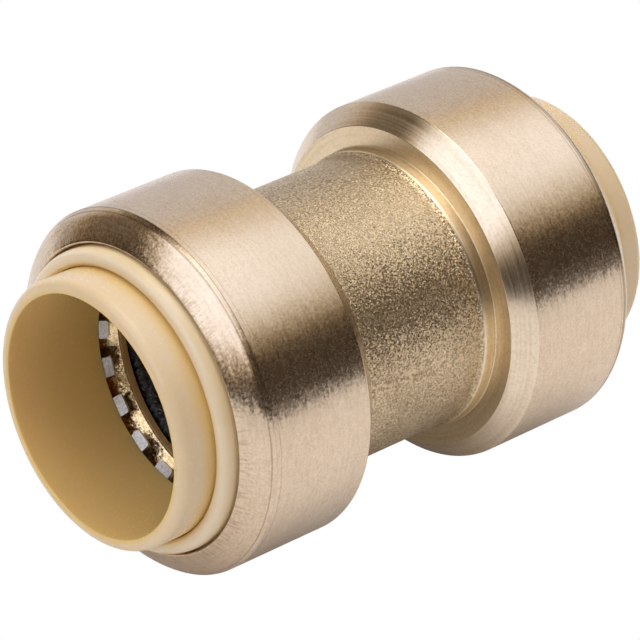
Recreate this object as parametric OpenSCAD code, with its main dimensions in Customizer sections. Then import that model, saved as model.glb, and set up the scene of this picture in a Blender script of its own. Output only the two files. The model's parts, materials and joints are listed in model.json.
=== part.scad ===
// Push fit coupling for two tubes of one size, end to end.
// X runs along the tubes and +Z is up. The origin is on the axis, at the middle of the tube stop.
// Each end is a stack of rings in a cup of the brass body. From the middle outwards: seal ring,
// protector ring, backing ring, grab ring, retaining ring and release collar.
// A ring's outline is drawn as [radius, distance from the middle] and turned about the axis.
// All sizes are in millimetres.

/* [Tube] */
// Outside diameter of the tube that each end takes
tube_d = 22.22; // [15:0.01:30]
// Gap all round the tube in the release collar's bore
tube_gap = 0.17; // [0.1:0.01:0.4]

/* [Body] */
// Length of the neck between the two cups' back faces
neck_l = 16.6; // [10:0.1:60]
// Wall of the neck round the tube socket
neck_wall = 1.7; // [1.2:0.1:4]
// Length of the tube stop in the middle of the body
stop_l = 4; // [2:0.1:8]
// Height of the tube stop above the socket's wall
stop_h = 1.7; // [0.8:0.1:3]
// Wall of the cup round the stack of rings
cup_wall = 2; // [1.4:0.1:4]
// Thickness of the cup's back wall
back_wall = 2.1; // [1.4:0.1:4]
// Size of the bevel at the cup's back corner
bevel = 1.78; // [0.4:0.01:2.5]
// Length of the rounded nose, from the end of the cup's straight side to the lip
nose_l = 2.07; // [1.2:0.01:3]
// How far the nose bows out from a straight cone
nose_bow = 0.3; // [0.05:0.05:0.5]
// Thickness of the lip's edge
lip_t = 0.75; // [0.4:0.05:1.5]
// Width of the machined band at each end of the neck
band_w = 1.2; // [0.4:0.1:3]
// How far the machined band stands above the neck
band_h = 0.3; // [0.1:0.05:1]

/* [Seal and inner rings] */
// Thickness of the rubber seal ring's cord
cord_d = 3.4; // [2:0.1:5]
// How far the seal ring reaches inside the tube's surface before a tube is pushed in
squeeze = 0.26; // [0.1:0.01:0.4]
// Spare length beside the seal ring in its groove
seal_room = 0.3; // [0.1:0.05:1]
// Thickness of the protector ring
protector_t = 0.7; // [0.5:0.1:2]
// Length of the backing ring
backing_l = 3.45; // [2.6:0.05:6]

/* [Grab ring] */
// Thickness of the grab ring's sheet
sheet_t = 0.5; // [0.3:0.05:0.8]
// Number of teeth
tooth_count = 19; // [12:1:24]
// Width of a tooth
tooth_w = 1.8; // [1:0.1:2.4]
// Lean of the teeth inwards from the flat rim
tooth_lean = 40; // [30:1:50]
// How far the tooth tips reach inside the tube's surface
bite = 0.49; // [0.2:0.01:0.8]
// Width of the flat rim that the teeth stand on
rim_w = 1.7; // [1:0.1:3]
// Radius of the tooth tips' corners
tip_r = 0.4; // [0.1:0.05:0.45]
// Direction of the first tooth, from +Y towards +Z
tooth_turn = -1.2; // [-10:0.1:10]

/* [Retaining ring] */
// Wall of the retaining ring round the release collar
ring_wall = 2.35; // [1.8:0.05:4]
// Length of the retaining ring
ring_l = 5.25; // [4.6:0.05:9]
// How far the retaining ring stands out of the body's lip
ring_proud = 1.25; // [0.6:0.05:3]
// Length of the narrow front part that keeps the release collar in
ring_front = 2.25; // [1.4:0.05:3]
// Width of the ring's shoulder behind the lip
shoulder_w = 0.85; // [0.4:0.05:1.5]

/* [Release collar] */
// Wall of the release collar
sleeve_wall = 1.26; // [0.8:0.01:3]
// How far the release collar stands out of the retaining ring
reach = 3.4; // [2.5:0.1:10]
// How far the release collar can be pushed in
travel = 1.5; // [0.8:0.1:2]
// Height of the catch that keeps the release collar in
catch_h = 0.6; // [0.3:0.05:1]
// Length of the catch
catch_l = 1.2; // [0.6:0.1:2]
// Radius of the rim's outer edge
rim_r = 0.9; // [0.2:0.05:1]

/* [Gaps] */
// Running gap between the release collar and the retaining ring
sleeve_gap = 0.06; // [0.03:0.01:0.15]
// Gap between the inner rings and the cup's bore
ring_gap = 0.05; // [0.02:0.01:0.1]
// Gap on each side of a ring that turns
play = 0.05; // [0.02:0.01:0.1]
// Gap beside each rubbing rim that isn't a running fit
rim_gap = 0.1; // [0.05:0.01:0.2]

/* [Hidden] */
near = -1;
far = 1;
$fn = 96;

// Radii, from the tube outwards
tube_r = tube_d / 2;
bore_r = tube_r + tube_gap;
stop_r = bore_r - stop_h;
neck_r = bore_r + neck_wall;
band_r = neck_r + band_h;
sleeve_r = bore_r + sleeve_wall;
keeper_r = sleeve_r + sleeve_gap;
catch_r = sleeve_r + catch_h;
pocket_r = catch_r + rim_gap;
ring_r = keeper_r + ring_wall;
cavity_r = ring_r + ring_gap;
cup_r = cavity_r + cup_wall;
collar_front_r = ring_r - shoulder_w;
lip_r = collar_front_r + 2 * rim_gap;

// Seal ring and its groove
seal_in_r = tube_r - squeeze;
seal_mid_r = seal_in_r + cord_d / 2;
seal_gap = 0.02;
groove_r = seal_in_r + cord_d + seal_gap;

// Grab ring
bend = 0.1;
sink = 0.02;
tip_in_r = tube_r - bite;
rim_out_r = cavity_r - rim_gap;
hole_r = rim_out_r - rim_w;
root_r = hole_r + bend;
tooth_l = (root_r - tip_in_r) / cos(tooth_lean);

// Stations along the axis, from the middle outwards
back_a = neck_l / 2;
groove_a = back_a + back_wall;
protector_a = groove_a + cord_d + seal_room;
backing_a = protector_a + protector_t;
grab_a = backing_a + backing_l + play;
grab_front_a = grab_a + sheet_t;
tooth_a = grab_front_a - sink;
ring_a = grab_front_a + play;
ring_front_a = ring_a + ring_l;
stop_a = ring_front_a - ring_front;
lip_a = ring_front_a - ring_proud;
crease_a = lip_a - nose_l;
collar_front_a = ring_front_a + reach;
catch_a = stop_a - play - catch_l;

// The release collar's nose lies along the teeth, a gap in front of them
nose_a = tooth_a - (root_r - bore_r) * tan(tooth_lean) + play / cos(tooth_lean);
nose_face = 0.8;
edge = 0.15;
arc_steps = 10;

// Points of an arc from angle a0 to angle a1, with half widths rx and ry
function arc(cx, cy, rx, ry, a0, a1) = [
    for (i = [0:arc_steps]) let (a = a0 + (a1 - a0) * i / arc_steps) [cx + rx * cos(a), cy + ry * sin(a)]
];

// Points of a bowed line from p to q, which stands out by bow at its middle
function bowed(p, q, bow) = let (d = q - p, out = [d[1], -d[0]] / norm(d)) [
    for (i = [0:arc_steps]) let (t = i / arc_steps) p + d * t + out * bow * 4 * t * (1 - t)
];

// The same outline on the other side of the middle, in reverse order
function mirrored(points) = [
    for (i = [len(points) - 1:-1:0]) [points[i][0], -points[i][1]]
];

// Turns an outline about the coupling's axis, towards one end
module turned(side) {
    rotate([0, 90 * side, 0]) rotate_extrude() children();
}

// Half of the body's outline, from the outside of the neck to the bore of the tube stop
function body_half() = concat(
    [
        [neck_r, back_a - band_w - band_h],
        [band_r, back_a - band_w],
        [band_r, back_a - edge],
        [band_r + edge, back_a],
        [cup_r - bevel, back_a],
        [cup_r, back_a + bevel]
    ],
    bowed([cup_r, crease_a], [lip_r + edge, lip_a], nose_bow),
    [
        [lip_r, lip_a - edge],
        [lip_r, lip_a - lip_t],
        [cavity_r, lip_a - lip_t - (cavity_r - lip_r)],
        [cavity_r, protector_a],
        [groove_r, protector_a],
        [groove_r, groove_a],
        [bore_r + 2 * edge, groove_a],
        [bore_r, groove_a - 2 * edge],
        [bore_r, stop_l / 2],
        [stop_r + edge, stop_l / 2],
        [stop_r, stop_l / 2 - edge]
    ]
);

// Brass body: two cups, the neck between them and the tube stop inside
module body() {
    color("burlywood") turned(far) polygon(concat(body_half(), mirrored(body_half())));
}

// Round rubber ring that seals on the tube
module seal_ring(side) {
    color("black") turned(side)
        translate([seal_mid_r, groove_a + (cord_d + seal_room) / 2]) circle(d = cord_d);
}

// Plastic washer that keeps the seal ring in its groove and away from the teeth
module protector_ring(side) {
    color("saddlebrown") turned(side) polygon([
        [bore_r + edge, protector_a],
        [ring_r, protector_a],
        [ring_r, backing_a],
        [bore_r, backing_a],
        [bore_r, protector_a + edge]
    ]);
}

// Brass ring behind the grab ring, hollowed so that the teeth have room to open
module backing_ring(side) {
    hollow_r = root_r - 2 * rim_gap;
    mouth_r = bore_r + rim_gap;
    seat_r = root_r + 0.5 * sheet_t;
    color("goldenrod") turned(side) polygon([
        [mouth_r, backing_a],
        [ring_r, backing_a],
        [ring_r, backing_a + backing_l],
        [seat_r, backing_a + backing_l],
        [hollow_r, backing_a + edge + hollow_r - mouth_r],
        [mouth_r, backing_a + edge]
    ]);
}

// Outline of one flat tooth: it points along -X, with its root at the origin
module tooth_outline() {
    translate([tip_r - tooth_l, -tooth_w / 2]) square([tooth_l - tip_r, tooth_w]);
    translate([-tooth_l, tip_r - tooth_w / 2]) square([2 * tip_r, tooth_w - 2 * tip_r]);
    for (y = [-1, 1])
        translate([tip_r - tooth_l, y * (tooth_w / 2 - tip_r)]) circle(r = tip_r, $fn = 24);
}

// One tooth, bent inwards from the rim's inner edge
module tooth() {
    translate([root_r, 0, tooth_a]) rotate([0, -tooth_lean, 0])
        translate([0, 0, -sheet_t]) linear_extrude(sheet_t) tooth_outline();
}

// Steel ring stamped from one sheet: a flat rim with a row of teeth that grip the tube
module grab_ring(side) {
    color("silver") rotate([0, 90 * side, 0]) rotate([0, 0, 90 + side * tooth_turn]) {
        difference() {
            translate([0, 0, grab_a]) cylinder(r = rim_out_r, h = sheet_t);
            translate([0, 0, grab_a - 1]) cylinder(r = hole_r, h = sheet_t + 2);
        }
        for (i = [0:tooth_count - 1]) rotate([0, 0, i * 360 / tooth_count]) tooth();
    }
}

// Outline of the retaining ring: its rounded front shows outside the lip
function ring_outline() = let (
    mid_r = (keeper_r + collar_front_r) / 2,
    half_w = (collar_front_r - keeper_r) / 2,
    side_a = lip_a + rim_gap
) concat(
    [
        [pocket_r, ring_a],
        [ring_r, ring_a],
        [ring_r, lip_a - lip_t - shoulder_w - rim_gap],
        [collar_front_r, lip_a - lip_t - rim_gap]
    ],
    arc(mid_r, side_a, half_w, ring_front_a - side_a, 0, 90),
    [
        [keeper_r + edge, ring_front_a - edge],
        [keeper_r, ring_front_a - 2 * edge],
        [keeper_r, stop_a],
        [pocket_r, stop_a]
    ]
);

// Plastic ring, held by the body's rolled lip, that guides the release collar
module retaining_ring(side) {
    color("moccasin") turned(side) polygon(ring_outline());
}

// Outline of the release collar, from its nose to its rounded rim
function collar_outline() = concat(
    [
        [bore_r, nose_a],
        [bore_r + nose_face, nose_a + nose_face * tan(tooth_lean)],
        [sleeve_r, nose_a + sleeve_wall * tan(tooth_lean) + edge * 2],
        [sleeve_r, catch_a],
        [catch_r - edge, catch_a],
        [catch_r, catch_a + edge],
        [catch_r, catch_a + catch_l],
        [sleeve_r, catch_a + catch_l]
    ],
    arc(sleeve_r - rim_r, collar_front_a - rim_r, rim_r, rim_r, 0, 90),
    arc(bore_r + edge, collar_front_a - edge, edge, edge, 90, 180)
);

// Plastic sleeve that slides in and lifts the teeth off the tube
module release_collar(side) {
    color("wheat") turned(side) polygon(collar_outline());
}

body();
seal_ring(near);  // near_seal_ring
protector_ring(near);  // near_protector_ring
backing_ring(near);  // near_backing_ring
grab_ring(near);  // near_grab_ring
retaining_ring(near);  // near_retaining_ring
release_collar(near);  // near_release_collar
seal_ring(far);  // far_seal_ring
protector_ring(far);  // far_protector_ring
backing_ring(far);  // far_backing_ring
grab_ring(far);  // far_grab_ring
retaining_ring(far);  // far_retaining_ring
release_collar(far);  // far_release_collar
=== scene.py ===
import math

import bpy
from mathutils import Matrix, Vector
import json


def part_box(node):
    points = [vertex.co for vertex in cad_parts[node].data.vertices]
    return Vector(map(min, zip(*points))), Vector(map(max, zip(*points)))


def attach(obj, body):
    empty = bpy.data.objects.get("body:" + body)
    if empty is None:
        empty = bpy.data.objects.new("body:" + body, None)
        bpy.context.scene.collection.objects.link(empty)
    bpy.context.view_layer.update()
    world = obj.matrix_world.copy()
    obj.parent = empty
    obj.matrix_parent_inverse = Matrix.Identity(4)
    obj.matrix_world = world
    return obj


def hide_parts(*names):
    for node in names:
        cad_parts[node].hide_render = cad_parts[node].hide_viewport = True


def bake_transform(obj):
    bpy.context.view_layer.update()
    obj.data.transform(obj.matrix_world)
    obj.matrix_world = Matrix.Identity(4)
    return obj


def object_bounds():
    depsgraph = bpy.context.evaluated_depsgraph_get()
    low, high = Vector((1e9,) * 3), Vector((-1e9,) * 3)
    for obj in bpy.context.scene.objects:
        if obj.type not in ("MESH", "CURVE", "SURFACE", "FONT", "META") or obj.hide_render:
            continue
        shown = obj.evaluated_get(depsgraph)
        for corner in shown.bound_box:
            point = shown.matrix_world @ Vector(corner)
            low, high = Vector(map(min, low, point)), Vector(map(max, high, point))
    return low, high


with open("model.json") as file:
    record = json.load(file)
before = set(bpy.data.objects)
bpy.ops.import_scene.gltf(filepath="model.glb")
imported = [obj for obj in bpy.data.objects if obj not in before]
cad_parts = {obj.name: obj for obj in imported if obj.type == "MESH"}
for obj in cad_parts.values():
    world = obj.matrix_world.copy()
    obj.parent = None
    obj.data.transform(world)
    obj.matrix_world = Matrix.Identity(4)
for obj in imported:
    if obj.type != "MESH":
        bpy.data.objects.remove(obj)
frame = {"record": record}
cad_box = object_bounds()

MM = 0.001
FULL_TURN = 2 * math.pi
QUARTER_TURN = math.pi / 2
TURN_STEPS = 180
SAME_PLACE = 1e-7
AXIS = {"center": (0, 0, 0), "axis": (1, 0, 0)}
ABOUT_AXIS = {"orient_axis": "X", "center_override": (0, 0, 0)}
NEAR, FAR = -1, 1
ENDS = {"near": NEAR, "far": FAR}


def span(node):
    """Where a far ring starts and ends along the axis, and its outer radius, in millimetres."""
    low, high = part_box(node)
    return tuple(round(size / MM, 2) for size in (low.x, high.x, high.z))


# Stations along the axis from the middle (_a), radii (_r), widths (_w) and thicknesses (_t),
# in millimetres
_, lip_a, cup_r = span("body")
seal_a, seal_end_a, seal_out_r = span("far_seal_ring")
protector_a, backing_a, ring_r = span("far_protector_ring")
_, backing_end_a, _ = span("far_backing_ring")
_, grab_front_a, rim_out_r = span("far_grab_ring")
ring_a, ring_front_a, _ = span("far_retaining_ring")
nose_a, collar_front_a, catch_r = span("far_release_collar")
bore_r = frame["record"]["mounts"][0]["dims"]["r_mm"]

neck_r = bore_r + 1.7
band_r = neck_r + 0.3
band_w = 1.2
wall_t = 2
cavity_r = cup_r - wall_t
groove_r = seal_out_r + 0.02
groove_a = seal_a - 0.15
back_a = groove_a - 2.1
bevel = 1.78
crease_a = lip_a - 2.07
shoulder_a, shoulder_r = crease_a + 0.77, cup_r - 0.64
shoulder_bow, nose_bow = 0.044, 0.03
lip_t = 0.75
stop_r = bore_r - 1.7
stop_a = 2.0
sleeve_r = bore_r + 1.26
keeper_r = sleeve_r + 0.06
pocket_r = catch_r + 0.1
ring_stop_a = ring_front_a - 2.25
ring_neck_r = ring_r - 0.85
lip_r = ring_neck_r + 0.2
catch_a = ring_stop_a - 1.25
sheet_t = 0.5
tooth_count = 19
tooth_w = 1.8
tooth_lean = math.radians(40)
tooth_root_r = rim_out_r - 1.6
tooth_tip_r = bore_r - 0.66
tooth_corner_r = 0.28
tooth_turn = math.radians(-1.2)
sheet_bend_r = 0.5
sheet_edge_r = 0.05


# ---------------------------------------------------------------- modelling


def only(piece):
    """Selects one piece and nothing else."""
    bpy.ops.object.select_all(action="DESELECT")
    piece.select_set(True)
    bpy.context.view_layer.objects.active = piece


def select_corners(piece, wanted):
    """Selects the corners of a mesh that lie at a wanted place."""
    bpy.ops.mesh.select_all(action="DESELECT")
    bpy.ops.object.mode_set(mode="OBJECT")
    for corner in piece.data.vertices:
        corner.select = wanted(corner.co)
    bpy.ops.object.mode_set(mode="EDIT")


def start_point(name, x, r):
    """A new mesh of a single corner above the axis, in edit mode."""
    bpy.ops.object.select_all(action="DESELECT")
    bpy.ops.mesh.primitive_plane_add(size=0.001)
    piece = bpy.context.object
    piece.name = name
    bpy.ops.object.mode_set(mode="EDIT")
    bpy.ops.mesh.select_mode(type="VERT")
    bpy.ops.mesh.select_all(action="SELECT")
    bpy.ops.mesh.merge(type="CENTER")
    bpy.ops.transform.translate(value=(x * MM, 0, r * MM))
    return piece


def draw_line(corners):
    """Extrudes the selected corner from place to place: distances along the axis, and radii."""
    for (x, r), (next_x, next_r) in zip(corners, corners[1:]):
        step = ((next_x - x) * MM, 0, (next_r - r) * MM)
        bpy.ops.mesh.extrude_region_move(TRANSFORM_OT_translate={"value": step})


def turned(name, outline):
    """A ring turned from its closed outline.

    Each corner is its distance along the axis, its radius, and how far it is rounded.
    """
    places = [(x, r) for x, r, _ in outline]
    piece = start_point(name, *places[0])
    draw_line(places)
    ends = [Vector((x * MM, 0, r * MM)) for x, r in (places[0], places[-1])]
    select_corners(piece, near_any(ends))
    bpy.ops.mesh.edge_face_add()
    for x, r, rounding in outline:
        if rounding:
            select_corners(piece, near_any([Vector((x * MM, 0, r * MM))]))
            round_corners(rounding, 5)
    bpy.ops.mesh.select_all(action="SELECT")
    bpy.ops.mesh.spin(steps=TURN_STEPS, angle=FULL_TURN, **AXIS)
    bpy.ops.mesh.select_all(action="SELECT")
    bpy.ops.mesh.remove_doubles(threshold=SAME_PLACE)
    bpy.ops.mesh.normals_make_consistent(inside=False)
    bpy.ops.object.mode_set(mode="OBJECT")
    smooth(piece)
    return piece


def near_any(places):
    """A test for corners that lie at one of the places."""
    return lambda co: any((co - place).length < SAME_PLACE for place in places)


def round_corners(size, segments):
    """Rounds the selected corners of a flat outline or sheet, by a size in millimetres."""
    bpy.ops.mesh.bevel(
        offset_type="OFFSET",
        offset=size * MM,
        segments=segments,
        affect="VERTICES",
        clamp_overlap=True,
    )


def smooth(piece, angle=28):
    """Smooth shading, with sharp edges where faces meet at more than the angle, in degrees."""
    only(piece)
    bpy.ops.object.shade_smooth_by_angle(angle=math.radians(angle))


def facing(side, outline):
    """An outline of the far end, placed at the near or the far end."""
    return [(side * x, r, rounding) for x, r, rounding in outline]


def bowed(start, end, bow, count):
    """Corners of a line that stands out by bow at its middle, its ends left out."""
    (x0, r0), (x1, r1) = start, end
    length = math.hypot(x1 - x0, r1 - r0)
    out = ((r0 - r1) / length, (x1 - x0) / length)
    corners = []
    for i in range(1, count):
        t = i / count
        lift = bow * 4 * t * (1 - t)
        x = x0 + (x1 - x0) * t + out[0] * lift
        r = r0 + (r1 - r0) * t + out[1] * lift
        corners.append((x, r, 0))
    return corners


def quarter(x, r, along, across, count=9):
    """Corners of a rounded edge, from the outer side to the front, about a centre."""
    turns = [QUARTER_TURN * i / count for i in range(count + 1)]
    return [(x + along * math.sin(t), r + across * math.cos(t), 0) for t in turns]


# ---------------------------------------------------------------- the brass body


def body_half_outline():
    """The far half: neck, band, bevel, cup, crease, rolled nose, lip, and back in down the bore."""
    crease = (crease_a, cup_r)
    shoulder = (shoulder_a, shoulder_r)
    lip_edge = (lip_a, lip_r + 0.16)
    return [
        (back_a - band_w - 0.4, neck_r, 0.2),
        (back_a - band_w, band_r, 0.15),
        (back_a, band_r, 0.12),
        (back_a, cup_r - bevel, 0.05),
        (back_a + bevel, cup_r, 0.08),
        (*crease, 0),
        *bowed(crease, shoulder, shoulder_bow, 5),
        (*shoulder, 0),
        *bowed(shoulder, lip_edge, nose_bow, 6),
        (*lip_edge, 0.07),
        (lip_a - 0.12, lip_r, 0.07),
        (lip_a - lip_t, lip_r, 0),
        (lip_a - lip_t - 0.7, cavity_r, 0),
        (protector_a, cavity_r, 0),
        (protector_a, groove_r, 0.1),
        (groove_a, groove_r, 0.15),
        (groove_a, bore_r + 0.3, 0.05),
        (groove_a - 0.3, bore_r, 0.05),
        (stop_a, bore_r, 0.15),
        (stop_a, stop_r, 0.15),
    ]


def make_body():
    half = body_half_outline()
    return turned("brass_body", half + facing(NEAR, half)[::-1])


def finish_zones(piece, zones, otherwise):
    """Gives each face the first finish whose zone it lies in.

    A zone is asked with the face's distance from the middle and its radius, in millimetres.
    """
    finishes = [finish for _, finish in zones] + [otherwise]
    for finish in finishes:
        piece.data.materials.append(finish)
    for face in piece.data.polygons:
        a, r = abs(face.center.x) / MM, math.hypot(face.center.y, face.center.z) / MM
        found = [i for i, (zone, _) in enumerate(zones) if zone(a, r)]
        face.material_index = found[0] if found else len(zones)


# ---------------------------------------------------------------- the rings


def seal_outline():
    """The seal ring's cord: a round section."""
    half = (seal_end_a - seal_a) / 2
    mid_a = (seal_a + seal_end_a) / 2
    mid_r = (seal_out_r * 2 - (seal_end_a - seal_a)) / 2
    turns = [FULL_TURN * i / 40 for i in range(40)]
    return [(mid_a + half * math.cos(t), mid_r + half * math.sin(t), 0) for t in turns]


def protector_outline():
    return [
        (protector_a, bore_r + 0.02, 0.12),
        (protector_a, ring_r, 0.08),
        (backing_a, ring_r, 0.08),
        (backing_a, bore_r + 0.02, 0.12),
    ]


def backing_outline():
    """The backing ring: hollow towards the teeth, so that they have room to open."""
    mouth_r, hollow_r = bore_r + 0.1, ring_r - 1.75
    return [
        (backing_a, mouth_r, 0.03),
        (backing_a, ring_r, 0.1),
        (backing_end_a, ring_r, 0.1),
        (backing_end_a, hollow_r + 0.4, 0.08),
        (backing_a + 1.55, hollow_r, 0.3),
        (backing_a + 0.12, mouth_r, 0.04),
    ]


def retaining_outline():
    """The retaining ring: a wide foot under the lip, and a crown that stands proud of it."""
    side_a = lip_a + 0.1
    mid_r, half = (keeper_r + ring_neck_r) / 2, (ring_neck_r - keeper_r) / 2
    crown = quarter(side_a, mid_r, ring_front_a - side_a, half)
    return [
        (ring_a, pocket_r, 0.05),
        (ring_a, ring_r, 0.1),
        (lip_a - lip_t - 0.95, ring_r, 0.1),
        (lip_a - lip_t - 0.1, ring_neck_r, 0.05),
        *crown,
        (ring_front_a - 0.04, keeper_r + 0.3, 0.1),
        (ring_front_a - 0.3, keeper_r, 0.1),
        (ring_stop_a, keeper_r, 0.05),
        (ring_stop_a, pocket_r, 0.1),
    ]


def collar_outline():
    """The release collar, from its tapered nose past the catch to the rounded rim."""
    rim = quarter(collar_front_a - 0.9, sleeve_r - 0.9, 0.9, 0.9, 12)
    return [
        (nose_a + 0.02, bore_r, 0.05),
        (nose_a + 0.42, bore_r + 0.5, 0.1),
        (nose_a + 1.0, bore_r + 0.8, 0.1),
        (catch_a - 0.25, sleeve_r, 0.05),
        (catch_a, sleeve_r, 0.05),
        (catch_a + 0.2, catch_r, 0.08),
        (catch_a + 1.2, catch_r, 0.06),
        (catch_a + 1.2, sleeve_r, 0.05),
        *rim,
        (collar_front_a, bore_r, 0.16),
    ]


# ---------------------------------------------------------------- the grab ring


def tooth_line():
    """The sheet's front side from the rim, round the bend and down a tooth to its tip."""
    bend_steps, shaft_steps = 4, 8
    slope = math.tan(tooth_lean)
    bend_r, bend_l = sheet_bend_r, sheet_bend_r * math.tan(tooth_lean / 2)
    bend = []
    for i in range(bend_steps + 1):
        t = tooth_lean * i / bend_steps
        a = grab_front_a - bend_r * (1 - math.cos(t))
        r = tooth_root_r + bend_l - bend_r * math.sin(t)
        bend.append((a, r))
    last_a, last_r = bend[-1]
    tip_a = last_a - (last_r - tooth_tip_r) * slope
    shaft = []
    for i in range(1, shaft_steps + 1):
        a = last_a + (tip_a - last_a) * i / shaft_steps
        r = last_r + (tooth_tip_r - last_r) * i / shaft_steps
        shaft.append((a, r))
    return bend, shaft


def make_grab_ring(name, side):
    """One tooth with its own width of rim, as a thin sheet, repeated round and thickened.

    The rim between the teeth isn't drawn: each tooth is separate.
    """
    bend, shaft = tooth_line()
    rim_inner = bend[0]
    pitch = FULL_TURN / tooth_count
    half_tooth = math.asin(tooth_w / 2 / rim_inner[1])
    rim_outer = (grab_front_a, rim_out_r)
    piece = start_point(name, *rim_outer)
    draw_line([rim_outer, rim_inner])
    bpy.ops.mesh.select_all(action="SELECT")
    bpy.ops.transform.rotate(value=half_tooth, **ABOUT_AXIS)
    placed = max(corner.y for corner in edit_corners(piece))
    # The operator may turn either way; the tooth starts on the -Y side
    if placed > 1e-6:
        bpy.ops.transform.rotate(value=-2 * half_tooth, **ABOUT_AXIS)
    bpy.ops.mesh.spin(steps=6, angle=-2 * half_tooth, **AXIS)
    root = rim_inner[1] * MM
    select_corners(piece, lambda co: abs(math.hypot(co.y, co.z) - root) < 1e-6)
    draw_line([rim_inner, *bend[1:], *shaft])
    round_tip(piece, shaft[-1])
    others = tooth_count - 1
    bpy.ops.mesh.select_all(action="SELECT")
    bpy.ops.mesh.spin(steps=others, angle=pitch * others, dupli=True, **AXIS)
    bpy.ops.mesh.select_all(action="SELECT")
    bpy.ops.mesh.remove_doubles(threshold=2e-6)
    first = tooth_turn - QUARTER_TURN
    bpy.ops.transform.rotate(value=first, **ABOUT_AXIS)
    if side == NEAR:
        bpy.ops.transform.resize(value=(-1, 1, 1), center_override=(0, 0, 0))
    bpy.ops.mesh.select_all(action="SELECT")
    bpy.ops.mesh.normals_make_consistent(inside=False)
    bpy.ops.object.mode_set(mode="OBJECT")
    outward = sum(face.normal.x * face.area for face in piece.data.polygons) * side
    thicken(piece, -1 if outward > 0 else 1)
    return piece


def edit_corners(piece):
    """Where a mesh's corners are, while it is in edit mode."""
    bpy.ops.object.mode_set(mode="OBJECT")
    places = [corner.co.copy() for corner in piece.data.vertices]
    bpy.ops.object.mode_set(mode="EDIT")
    return places


def round_tip(piece, tip):
    """Rounds the two outer corners of the tooth's tip."""
    tip_a = tip[0] * MM
    places = [co for co in edit_corners(piece) if abs(co.x - tip_a) < 1e-6]
    ends = [min(places, key=lambda co: co.y), max(places, key=lambda co: co.y)]
    select_corners(piece, near_any(ends))
    round_corners(tooth_corner_r, 4)


def thicken(piece, offset):
    """Gives the sheet its thickness, to one side, and breaks its edges."""
    only(piece)
    sheet = piece.modifiers.new("sheet", "SOLIDIFY")
    sheet.thickness = sheet_t * MM
    sheet.offset = offset
    sheet.use_even_offset = True
    bpy.ops.object.modifier_apply(modifier=sheet.name)
    edge = piece.modifiers.new("edge", "BEVEL")
    edge.width = sheet_edge_r * MM
    edge.segments = 2
    edge.limit_method = "ANGLE"
    edge.angle_limit = math.radians(50)
    bpy.ops.object.modifier_apply(modifier=edge.name)
    bpy.ops.object.mode_set(mode="EDIT")
    bpy.ops.mesh.select_all(action="SELECT")
    bpy.ops.mesh.remove_doubles(threshold=SAME_PLACE)
    bpy.ops.mesh.normals_make_consistent(inside=False)
    bpy.ops.object.mode_set(mode="OBJECT")
    smooth(piece, 35)


# ---------------------------------------------------------------- finishes


WHITE = (1.0, 1.0, 1.0)


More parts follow.
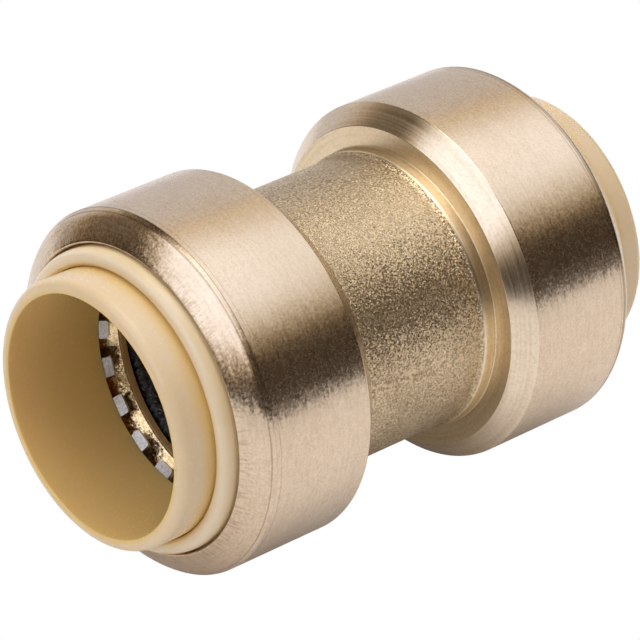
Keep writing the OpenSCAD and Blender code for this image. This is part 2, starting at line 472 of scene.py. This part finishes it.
class Finish:
    """A procedural material, built node by node."""

    def __init__(self, name):
        self.material = bpy.data.materials.new(name)
        self.material.use_nodes = True
        self.nodes = self.material.node_tree.nodes
        self.links = self.material.node_tree.links
        self.surface = self.nodes["Principled BSDF"]
        self.place = self.add("ShaderNodeTexCoord").outputs["Object"]

    def add(self, kind, inputs=None, **settings):
        node = self.nodes.new(kind)
        for key, value in settings.items():
            setattr(node, key, value)
        for key, value in (inputs or {}).items():
            self.put(node.inputs[key], value)
        return node

    def put(self, socket, value):
        if isinstance(value, bpy.types.NodeSocket):
            self.links.new(value, socket)
        else:
            socket.default_value = value

    def set(self, **values):
        for key, value in values.items():
            self.put(self.surface.inputs[key.replace("_", " ")], value)

    def math(self, operation, a, b=0.0):
        return self.add("ShaderNodeMath", {0: a, 1: b}, operation=operation).outputs[0]

    def cloud(self, scale, detail=2.0, rough=0.5):
        """A noise of the same size in every direction, scale cells to a metre."""
        return self.noise(self.place, scale, detail, rough)

    def noise(self, vector, scale, detail, rough=0.6, inputs=None, **settings):
        measures = {"Vector": vector, "Scale": scale, "Detail": detail, "Roughness": rough}
        return self.add("ShaderNodeTexNoise", {**measures, **(inputs or {})}, **settings)

    def grain(self, scale, detail=2.0, rough=0.5):
        return self.cloud(scale, detail, rough).outputs["Fac"]

    def parts(self):
        return self.add("ShaderNodeSeparateXYZ", {0: self.place}).outputs

    def radius(self):
        """The place's parts along X, Y and Z, and how far it is from the axis."""
        parts = self.parts()
        square_y = self.math("MULTIPLY", parts["Y"], parts["Y"])
        square_z = self.math("MULTIPLY", parts["Z"], parts["Z"])
        return parts, self.math("SQRT", self.math("ADD", square_y, square_z))

    def along(self):
        """How far out along the axis, either way."""
        return self.math("ABSOLUTE", self.parts()["X"])

    def lathe_lines(self, across, along, detail=3.0):
        """Fine lines round the axis, as a lathe leaves them."""
        parts, r = self.radius()
        stretch = along / across
        y = self.math("MULTIPLY", parts["Y"], stretch)
        w = self.math("MULTIPLY", parts["Z"], stretch)
        vector = self.add("ShaderNodeCombineXYZ", {0: parts["X"], 1: r, 2: y}).outputs[0]
        return self.noise(vector, across, detail, inputs={"W": w}, noise_dimensions="4D")

    def turning(self, across, along, detail=3.0):
        return self.lathe_lines(across, along, detail).outputs["Fac"]

    def wrinkles(self, across, along):
        """Fine wrinkles that run along the axis, side by side round it."""
        parts, r = self.radius()
        reach = cup_r * MM
        round_y = self.math("MULTIPLY", self.math("DIVIDE", parts["Y"], r), reach)
        round_z = self.math("MULTIPLY", self.math("DIVIDE", parts["Z"], r), reach)
        x = self.math("MULTIPLY", parts["X"], along / across)
        vector = self.add("ShaderNodeCombineXYZ", {0: x, 1: round_y, 2: round_z}).outputs[0]
        return self.noise(vector, across, 3.0).outputs["Fac"]

    def between(self, value, low, high, to_low, to_high):
        """Changes from one value to another as the input goes from low to high."""
        ends = {"From Min": low, "From Max": high, "To Min": to_low, "To Max": to_high}
        return self.add("ShaderNodeMapRange", {"Value": value, **ends}).outputs["Result"]

    def shades(self, value, *stops):
        """A colour ramp: each stop is a position and a colour."""
        ramp = self.add("ShaderNodeValToRGB", {"Fac": value})
        elements = ramp.color_ramp.elements
        while len(elements) < len(stops):
            elements.new(0.5)
        for element, (position, colour) in zip(elements, stops):
            element.position = position
            element.color = (*colour, 1)
        return ramp.outputs["Color"]

    def mixed(self, how, amount, a, b):
        mix = self.nodes.new("ShaderNodeMix")
        mix.data_type = "RGBA"
        mix.blend_type = how
        self.put(mix.inputs[0], amount)
        self.put(mix.inputs[6], a)
        self.put(mix.inputs[7], b)
        return mix.outputs[2]

    def scattered(self, *layers):
        """A normal tilted at random: each layer is a noise node and how far it tilts."""
        normal = self.add("ShaderNodeNewGeometry").outputs["Normal"]
        for noise, amount in layers:
            centred = self.vector_math("SUBTRACT", noise.outputs["Color"], (0.5, 0.5, 0.5))
            tilted = self.vector_math("MULTIPLY_ADD", centred, (amount, amount, amount), normal)
            normal = self.vector_math("NORMALIZE", tilted)
        return normal

    def vector_math(self, operation, *values):
        node = self.add("ShaderNodeVectorMath", dict(enumerate(values)), operation=operation)
        return node.outputs[0]

    def bumps(self, *layers, normal=None):
        """Bumps on bumps: each layer is a height and how deep it is in millimetres."""
        for height, depth in layers:
            inputs = {"Height": height, "Distance": depth * MM, "Strength": 1.0}
            if normal is not None:
                inputs["Normal"] = normal
            normal = self.add("ShaderNodeBump", inputs).outputs["Normal"]
        self.set(Normal=normal)


def worn_tint(finish, blast, scores):
    """The brass colour: mottled by the blast, darker in its scores, tool lines by the crease."""
    patches = finish.grain(90, 3.0)
    tint = finish.shades(patches, (0.3, (0.775, 0.62, 0.455)), (0.7, (0.845, 0.69, 0.52)))
    mottle = finish.shades(blast, (0.38, (0.86, 0.85, 0.82)), (0.6, WHITE))
    scored = finish.shades(scores, (0.36, (0.92, 0.91, 0.89)), (0.54, WHITE))
    tool_marks = finish.turning(2800, 8, 1.0)
    rings = finish.shades(tool_marks, (0.42, (0.5, 0.46, 0.4)), (0.47, WHITE))
    off_crease = finish.math("ABSOLUTE", finish.math("SUBTRACT", finish.along(), crease_a * MM))
    beside = finish.between(off_crease, 0.3 * MM, 0.8 * MM, 0.7, 0.0)
    tint = finish.mixed("MULTIPLY", 1.0, tint, mottle)
    tint = finish.mixed("MULTIPLY", 1.0, tint, scored)
    return finish.mixed("MULTIPLY", beside, tint, rings)


def satin_turned_brass():
    """The cups' sides: fine turning lines under a light blast."""
    finish = Finish("satin_turned_brass")
    strokes = finish.lathe_lines(3300, 650)
    frost = finish.cloud(4000, 3.0, 0.6)
    grain = frost.outputs["Fac"]
    dents = finish.grain(420, 3.0)
    finish.set(
        Base_Color=worn_tint(finish, grain, strokes.outputs["Fac"]),
        Metallic=1.0,
        Roughness=finish.between(grain, 0.35, 0.65, 0.2, 0.28),
    )
    finish.bumps((dents, 0.008), normal=finish.scattered((strokes, 0.09), (frost, 0.13)))
    return finish.material


def crimped_brass():
    """The rolled noses: turning lines crossed by short fine wrinkles from the rolling."""
    finish = Finish("crimped_brass")
    strokes = finish.lathe_lines(3300, 500)
    wrinkles = finish.wrinkles(3600, 1300)
    frost = finish.cloud(4000, 3.0, 0.6)
    grain = frost.outputs["Fac"]
    by_lip = finish.between(finish.along(), (lip_a - 0.9) * MM, (lip_a - 0.3) * MM, 0.1, 1.0)
    creased = finish.shades(wrinkles, (0.4, (0.8, 0.78, 0.74)), (0.52, WHITE))
    tint = worn_tint(finish, grain, strokes.outputs["Fac"])
    finish.set(
        Base_Color=finish.mixed("MULTIPLY", by_lip, tint, creased),
        Metallic=1.0,
        Roughness=finish.between(grain, 0.35, 0.65, 0.15, 0.24),
    )
    finish.bumps((wrinkles, 0.0003), normal=finish.scattered((strokes, 0.12), (frost, 0.16)))
    return finish.material


def cut_brass(name, light, dark, smoothest, roughest):
    """Cut bright and left clean: the bevels, and the back faces and bands."""
    finish = Finish(name)
    lines = finish.turning(3800, 60, 2.0)
    grain = finish.grain(3400, 2.0)
    dents = finish.grain(500, 2.0)
    patches = finish.grain(140, 2.0)
    tint = finish.shades(patches, (0.3, dark), (0.7, light))
    mottle = finish.shades(grain, (0.36, (0.9, 0.89, 0.87)), (0.56, WHITE))
    shade = finish.shades(lines, (0.36, (0.86, 0.85, 0.82)), (0.56, WHITE))
    mottled = finish.mixed("MULTIPLY", 1.0, tint, mottle)
    finish.set(
        Base_Color=finish.mixed("MULTIPLY", 1.0, mottled, shade),
        Metallic=1.0,
        Roughness=finish.between(lines, 0.3, 0.7, smoothest, roughest),
    )
    finish.bumps((dents, 0.007), (lines, 0.004))
    return finish.material


def blasted_brass():
    """The neck between the cups: the cast skin, blasted with coarse grit."""
    finish = Finish("blasted_brass")
    grit = finish.cloud(8200, 2.0)
    coarse = finish.cloud(5200, 2.0)
    patches = finish.grain(160, 3.0)
    tint = finish.shades(patches, (0.3, (0.59, 0.46, 0.295)), (0.7, (0.68, 0.545, 0.36)))
    # The grit's mottled tone in the colour, darker in the pits as painted shade, and above full
    # brightness on the tops as painted glints.
    grit_shade_and_glints = finish.shades(
        coarse.outputs["Fac"],
        (0.38, (0.55, 0.52, 0.47)),
        (0.5, (0.9, 0.89, 0.87)),
        (0.63, (1.3, 1.3, 1.3)),
    )
    finish.set(
        Base_Color=finish.mixed("MULTIPLY", 1.0, tint, grit_shade_and_glints),
        Metallic=1.0,
        Roughness=finish.between(grit.outputs["Fac"], 0.3, 0.7, 0.44, 0.3),
    )
    finish.set(Normal=finish.scattered((coarse, 1.05), (grit, 1.2)))
    return finish.material


def inner_brass():
    """Brass inside the cups and the backing rings, wet with the seal's grease."""
    finish = Finish("inner_brass")
    lines = finish.turning(2600, 120)
    flakes = finish.cloud(3600, 3.0, 0.65)
    grain = flakes.outputs["Fac"]
    tint = finish.shades(grain, (0.38, (0.6, 0.42, 0.19)), (0.6, (0.92, 0.73, 0.44)))
    finish.set(
        Base_Color=tint,
        Metallic=1.0,
        Roughness=finish.between(grain, 0.35, 0.65, 0.12, 0.26),
    )
    finish.bumps((lines, 0.008), (grain, 0.02), normal=finish.scattered((flakes, 0.5)))
    return finish.material


def satin_steel():
    """The stamped grab rings."""
    finish = Finish("satin_steel")
    frost = finish.cloud(5200, 3.0, 0.7)
    grain = frost.outputs["Fac"]
    tint = finish.shades(grain, (0.38, (0.3, 0.28, 0.255)), (0.6, (0.5, 0.47, 0.43)))
    finish.set(
        Base_Color=tint,
        Metallic=1.0,
        Roughness=finish.between(grain, 0.3, 0.7, 0.28, 0.42),
    )
    finish.set(Normal=finish.scattered((frost, 0.45)))
    return finish.material


# Painted shade: the amber mixed into the acetal in its crevices and hollows.
PAINTED_SHADE_AMBER = (0.82, 0.58, 0.21, 1)


def ivory_acetal(name, light, dark, subsurface, smooth_to=0.23, painted_shade=None):
    """Moulded acetal, a little see-through, with an amber painted shade mixed in where a mask asks
    for it.
    """
    finish = Finish(name)
    clouds = finish.grain(120, 3.0)
    grain = finish.grain(4200, 2.0)
    marks = finish.turning(2500, 90, 2.0)
    tint = finish.shades(clouds, (0.3, dark), (0.7, light))
    # Painted shade: amber mixed into the colour where the mask is high.
    if painted_shade:
        tint = finish.mixed("MIX", painted_shade(finish), tint, PAINTED_SHADE_AMBER)
    finish.set(
        Base_Color=tint,
        Roughness=finish.between(grain, 0.3, 0.7, smooth_to, smooth_to + 0.05),
        IOR=1.48,
        Subsurface_Weight=subsurface,
        Subsurface_Scale=0.0011,
        Subsurface_Radius=(1.0, 0.66, 0.3),
    )
    finish.bumps((marks, 0.001), (grain, 0.0001))
    return finish.material


def collar_painted_shade(finish):
    """Where amber painted shade goes: the collar's bore, and the sleeve where it goes into the
    ring.
    """
    _, r = finish.radius()
    bore = finish.between(r, (bore_r + 0.15) * MM, (bore_r + 0.6) * MM, 0.85, 0.0)
    sleeve = finish.between(finish.along(), ring_front_a * MM, (ring_front_a + 1.5) * MM, 0.9, 0.0)
    return finish.math("MAXIMUM", bore, sleeve)


def ring_painted_shade(finish):
    """Where amber painted shade goes: the ring's two edges, against the collar and under the lip.
    """
    _, r = finish.radius()
    inner = finish.between(r, keeper_r * MM, (keeper_r + 0.6) * MM, 0.8, 0.0)
    outer = finish.between(r, (lip_r - 0.45) * MM, lip_r * MM, 0.0, 0.75)
    return finish.math("MAXIMUM", inner, outer)


def greased_rubber():
    """The seal rings: black rubber under a film of grease."""
    finish = Finish("greased_rubber")
    smears = finish.grain(2600, 5.0, 0.75)
    drops = finish.cloud(3600, 3.0, 0.7)
    tint = finish.shades(smears, (0.35, (0.004, 0.004, 0.0045)), (0.75, (0.014, 0.014, 0.015)))
    finish.set(
        Base_Color=tint,
        Roughness=finish.between(smears, 0.5, 0.6, 0.5, 0.08),
        Specular_IOR_Level=0.5,
    )
    finish.set(Normal=finish.scattered((drops, 2.6)))
    return finish.material


# ---------------------------------------------------------------- putting it together


def body_zones():
    """Which finish each part of the brass has: the first zone that a face lies in counts."""
    neck_end = back_a - band_w - 0.12
    outside_r = bore_r + 1.0

    def neck(a, r):
        return a < neck_end and r > outside_r

    def faces(a, r):
        return a < back_a + 0.01 and r > outside_r

    def bevels(a, r):
        return a < back_a + bevel and r > cup_r - bevel - 0.1

    def nose(a, r):
        under_skin = cavity_r - (a - crease_a) * 0.2
        return a > crease_a + 0.02 and (r > under_skin or a > lip_a - 0.3)

    def sides(a, r):
        return a > back_a + bevel - 0.01 and r > cup_r - 0.3

    face_light, face_dark = (0.9, 0.75, 0.53), (0.85, 0.7, 0.47)
    bevel_light, bevel_dark = (0.89, 0.75, 0.58), (0.84, 0.7, 0.52)
    face_finish = cut_brass("cut_face_brass", face_light, face_dark, 0.28, 0.4)
    bevel_finish = cut_brass("cut_bevel_brass", bevel_light, bevel_dark, 0.17, 0.26)
    return [
        (neck, blasted_brass()),
        (faces, face_finish),
        (bevels, bevel_finish),
        (nose, crimped_brass()),
        (sides, satin_turned_brass()),
    ]


def put(piece, node, body, finish=None):
    """The piece stands for its CAD node and moves with that node's body."""
    if finish:
        piece.data.materials.clear()
        piece.data.materials.append(finish)
    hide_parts(node)
    if body:
        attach(piece, body)
    return piece


def collar_acetal():
    light, dark = (0.84, 0.68, 0.445), (0.82, 0.655, 0.415)
    return ivory_acetal("collar_acetal", light, dark, 0.5, painted_shade=collar_painted_shade)


def ring_acetal():
    light, dark = (0.9, 0.76, 0.56), (0.88, 0.735, 0.52)
    return ivory_acetal("ring_acetal", light, dark, 0.45, 0.12, painted_shade=ring_painted_shade)


def shaded_acetal():
    """The ring beside the seal: the acetal darkened to brown, painted shade for its place deep in
    the cup.
    """
    return ivory_acetal("shaded_acetal", (0.5, 0.34, 0.16), (0.42, 0.28, 0.12), 0.2)


def build():
    inner = inner_brass()
    body = make_body()
    finish_zones(body, body_zones(), inner)
    put(body, "body", "root")
    collar_finish, ring_finish, shaded_finish = collar_acetal(), ring_acetal(), shaded_acetal()
    steel, rubber = satin_steel(), greased_rubber()
    for end, side in ENDS.items():
        parts = [
            ("seal_ring", seal_outline, "root", "rubber", rubber),
            ("protector_ring", protector_outline, "root", "shaded_plastic", shaded_finish),
            ("backing_ring", backing_outline, "root", "turned_brass", inner),
            ("retaining_ring", retaining_outline, "root", "ring_plastic", ring_finish),
            ("release_collar", collar_outline, f"{end}_collar", "collar_plastic", collar_finish),
        ]
        for kind, outline, rider, slot, finish in parts:
            piece = turned(f"{end}_{kind}_shape", facing(side, outline()))
            put(piece, f"{end}_{kind}", rider, finish)
        grab = make_grab_ring(f"{end}_grab_ring_shape", side)
        put(grab, f"{end}_grab_ring", None, steel)
        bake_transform(grab)


# ---------------------------------------------------------------- studio


VIEW_AZIMUTH, VIEW_ELEVATION, VIEW_DISTANCE = -41.629, 28.938, 0.4312
AIM = (-0.00059, 0.00027, -0.00034)
LENS = 270.72
FLOOR_SIZE = 0.34


def make_camera():
    camera = bpy.data.objects.new("camera", bpy.data.cameras.new("camera"))
    bpy.context.scene.collection.objects.link(camera)
    back = Vector(towards(VIEW_AZIMUTH, VIEW_ELEVATION)) * VIEW_DISTANCE
    camera.location = Vector(AIM) + back
    camera.rotation_euler = (math.radians(90 - VIEW_ELEVATION), 0, math.radians(VIEW_AZIMUTH))
    camera.data.sensor_width = 36
    camera.data.lens = LENS
    camera.data.clip_start = 0.01
    bpy.context.scene.camera = camera


def towards(azimuth, elevation):
    """A direction: azimuth 0 is -Y and 90 is +X, in degrees."""
    az, el = math.radians(azimuth), math.radians(elevation)
    return (math.sin(az) * math.cos(el), -math.cos(az) * math.cos(el), math.sin(el))


# Soft boxes round the set: azimuth and elevation, the angle from there to which they are full,
# the angle at which they are gone, and their colour
SOFT_BOXES = [
    ((70, 68), 12, 50, (1.2, 1.26, 1.42)),
    ((-88, 39), 21, 42, (1.38, 1.44, 1.66)),
    ((150, 5), 28, 54, (0.64, 0.64, 0.69)),
    ((-160, 24), 5, 28, (0.13, 0.11, 0.09)),
    ((0, 90), 8, 30, (2.0, 2.02, 2.08)),
]
ROOM = (0.045, 0.031, 0.018)
EDGE_WARMTH = (1.0, 1.2, 1.6)


def soft_box(tree, way, under, azimuth, elevation, full, gone, colour):
    """Adds one soft box to the light under it, with an edge that fades and turns warmer."""
    add, link = tree.nodes.new, tree.links.new
    dot = add("ShaderNodeVectorMath")
    dot.operation = "DOT_PRODUCT"
    link(way, dot.inputs[0])
    dot.inputs[1].default_value = towards(azimuth, elevation)
    fade = add("ShaderNodeMapRange")
    fade.interpolation_type = "SMOOTHSTEP"
    link(dot.outputs["Value"], fade.inputs["Value"])
    fade.inputs["From Min"].default_value = math.cos(math.radians(gone))
    fade.inputs["From Max"].default_value = math.cos(math.radians(full))
    warmed = add("ShaderNodeCombineXYZ")
    for i, power in enumerate(EDGE_WARMTH):
        edge = add("ShaderNodeMath")
        edge.operation = "POWER"
        link(fade.outputs["Result"], edge.inputs[0])
        edge.inputs[1].default_value = power
        link(edge.outputs[0], warmed.inputs[i])
    glow = add("ShaderNodeVectorMath")
    glow.operation = "MULTIPLY_ADD"
    link(warmed.outputs[0], glow.inputs[0])
    glow.inputs[1].default_value = colour
    if under is None:
        glow.inputs[2].default_value = ROOM
    else:
        link(under, glow.inputs[2])
    return glow.outputs["Vector"]


def light_world():
    """Soft boxes for the object's light, and plain white behind it."""
    world = bpy.data.worlds.new("studio")
    bpy.context.scene.world = world
    world.use_nodes = True
    tree = world.node_tree
    tree.nodes.clear()
    add, link = tree.nodes.new, tree.links.new
    way = add("ShaderNodeTexCoord").outputs["Generated"]
    total = None
    for (azimuth, elevation), full, gone, colour in SOFT_BOXES:
        total = soft_box(tree, way, total, azimuth, elevation, full, gone, colour)
    set_light = add("ShaderNodeBackground")
    link(total, set_light.inputs["Color"])
    white = add("ShaderNodeBackground")
    white.inputs["Color"].default_value = (1, 1, 1, 1)
    mix = add("ShaderNodeMixShader")
    link(add("ShaderNodeLightPath").outputs["Is Camera Ray"], mix.inputs[0])
    link(set_light.outputs[0], mix.inputs[1])
    link(white.outputs[0], mix.inputs[2])
    link(mix.outputs[0], add("ShaderNodeOutputWorld").inputs["Surface"])


def lay_floor():
    """A plain pale floor that shows as white."""
    bpy.ops.object.select_all(action="DESELECT")
    bpy.ops.mesh.primitive_plane_add(size=FLOOR_SIZE, location=(0, 0, cad_box[0].z))
    floor = bpy.context.object
    floor.name = "floor"
    finish = Finish("pale_floor")
    finish.set(Base_Color=(0.86, 0.86, 0.88, 1), Roughness=0.9)
    finish.set(Emission_Color=(1, 1, 1, 1), Emission_Strength=0.06)
    glow = finish.add("ShaderNodeEmission", {"Color": (1, 1, 1, 1), "Strength": 1.0})
    mix = finish.add("ShaderNodeMixShader")
    finish.put(mix.inputs[0], finish.add("ShaderNodeLightPath").outputs["Is Camera Ray"])
    finish.put(mix.inputs[1], finish.surface.outputs[0])
    finish.put(mix.inputs[2], glow.outputs[0])
    finish.put(finish.nodes["Material Output"].inputs["Surface"], mix.outputs[0])
    floor.data.materials.append(finish.material)


make_camera()
build()
lay_floor()
light_world()
bpy.context.scene.view_settings.view_transform = "Standard"
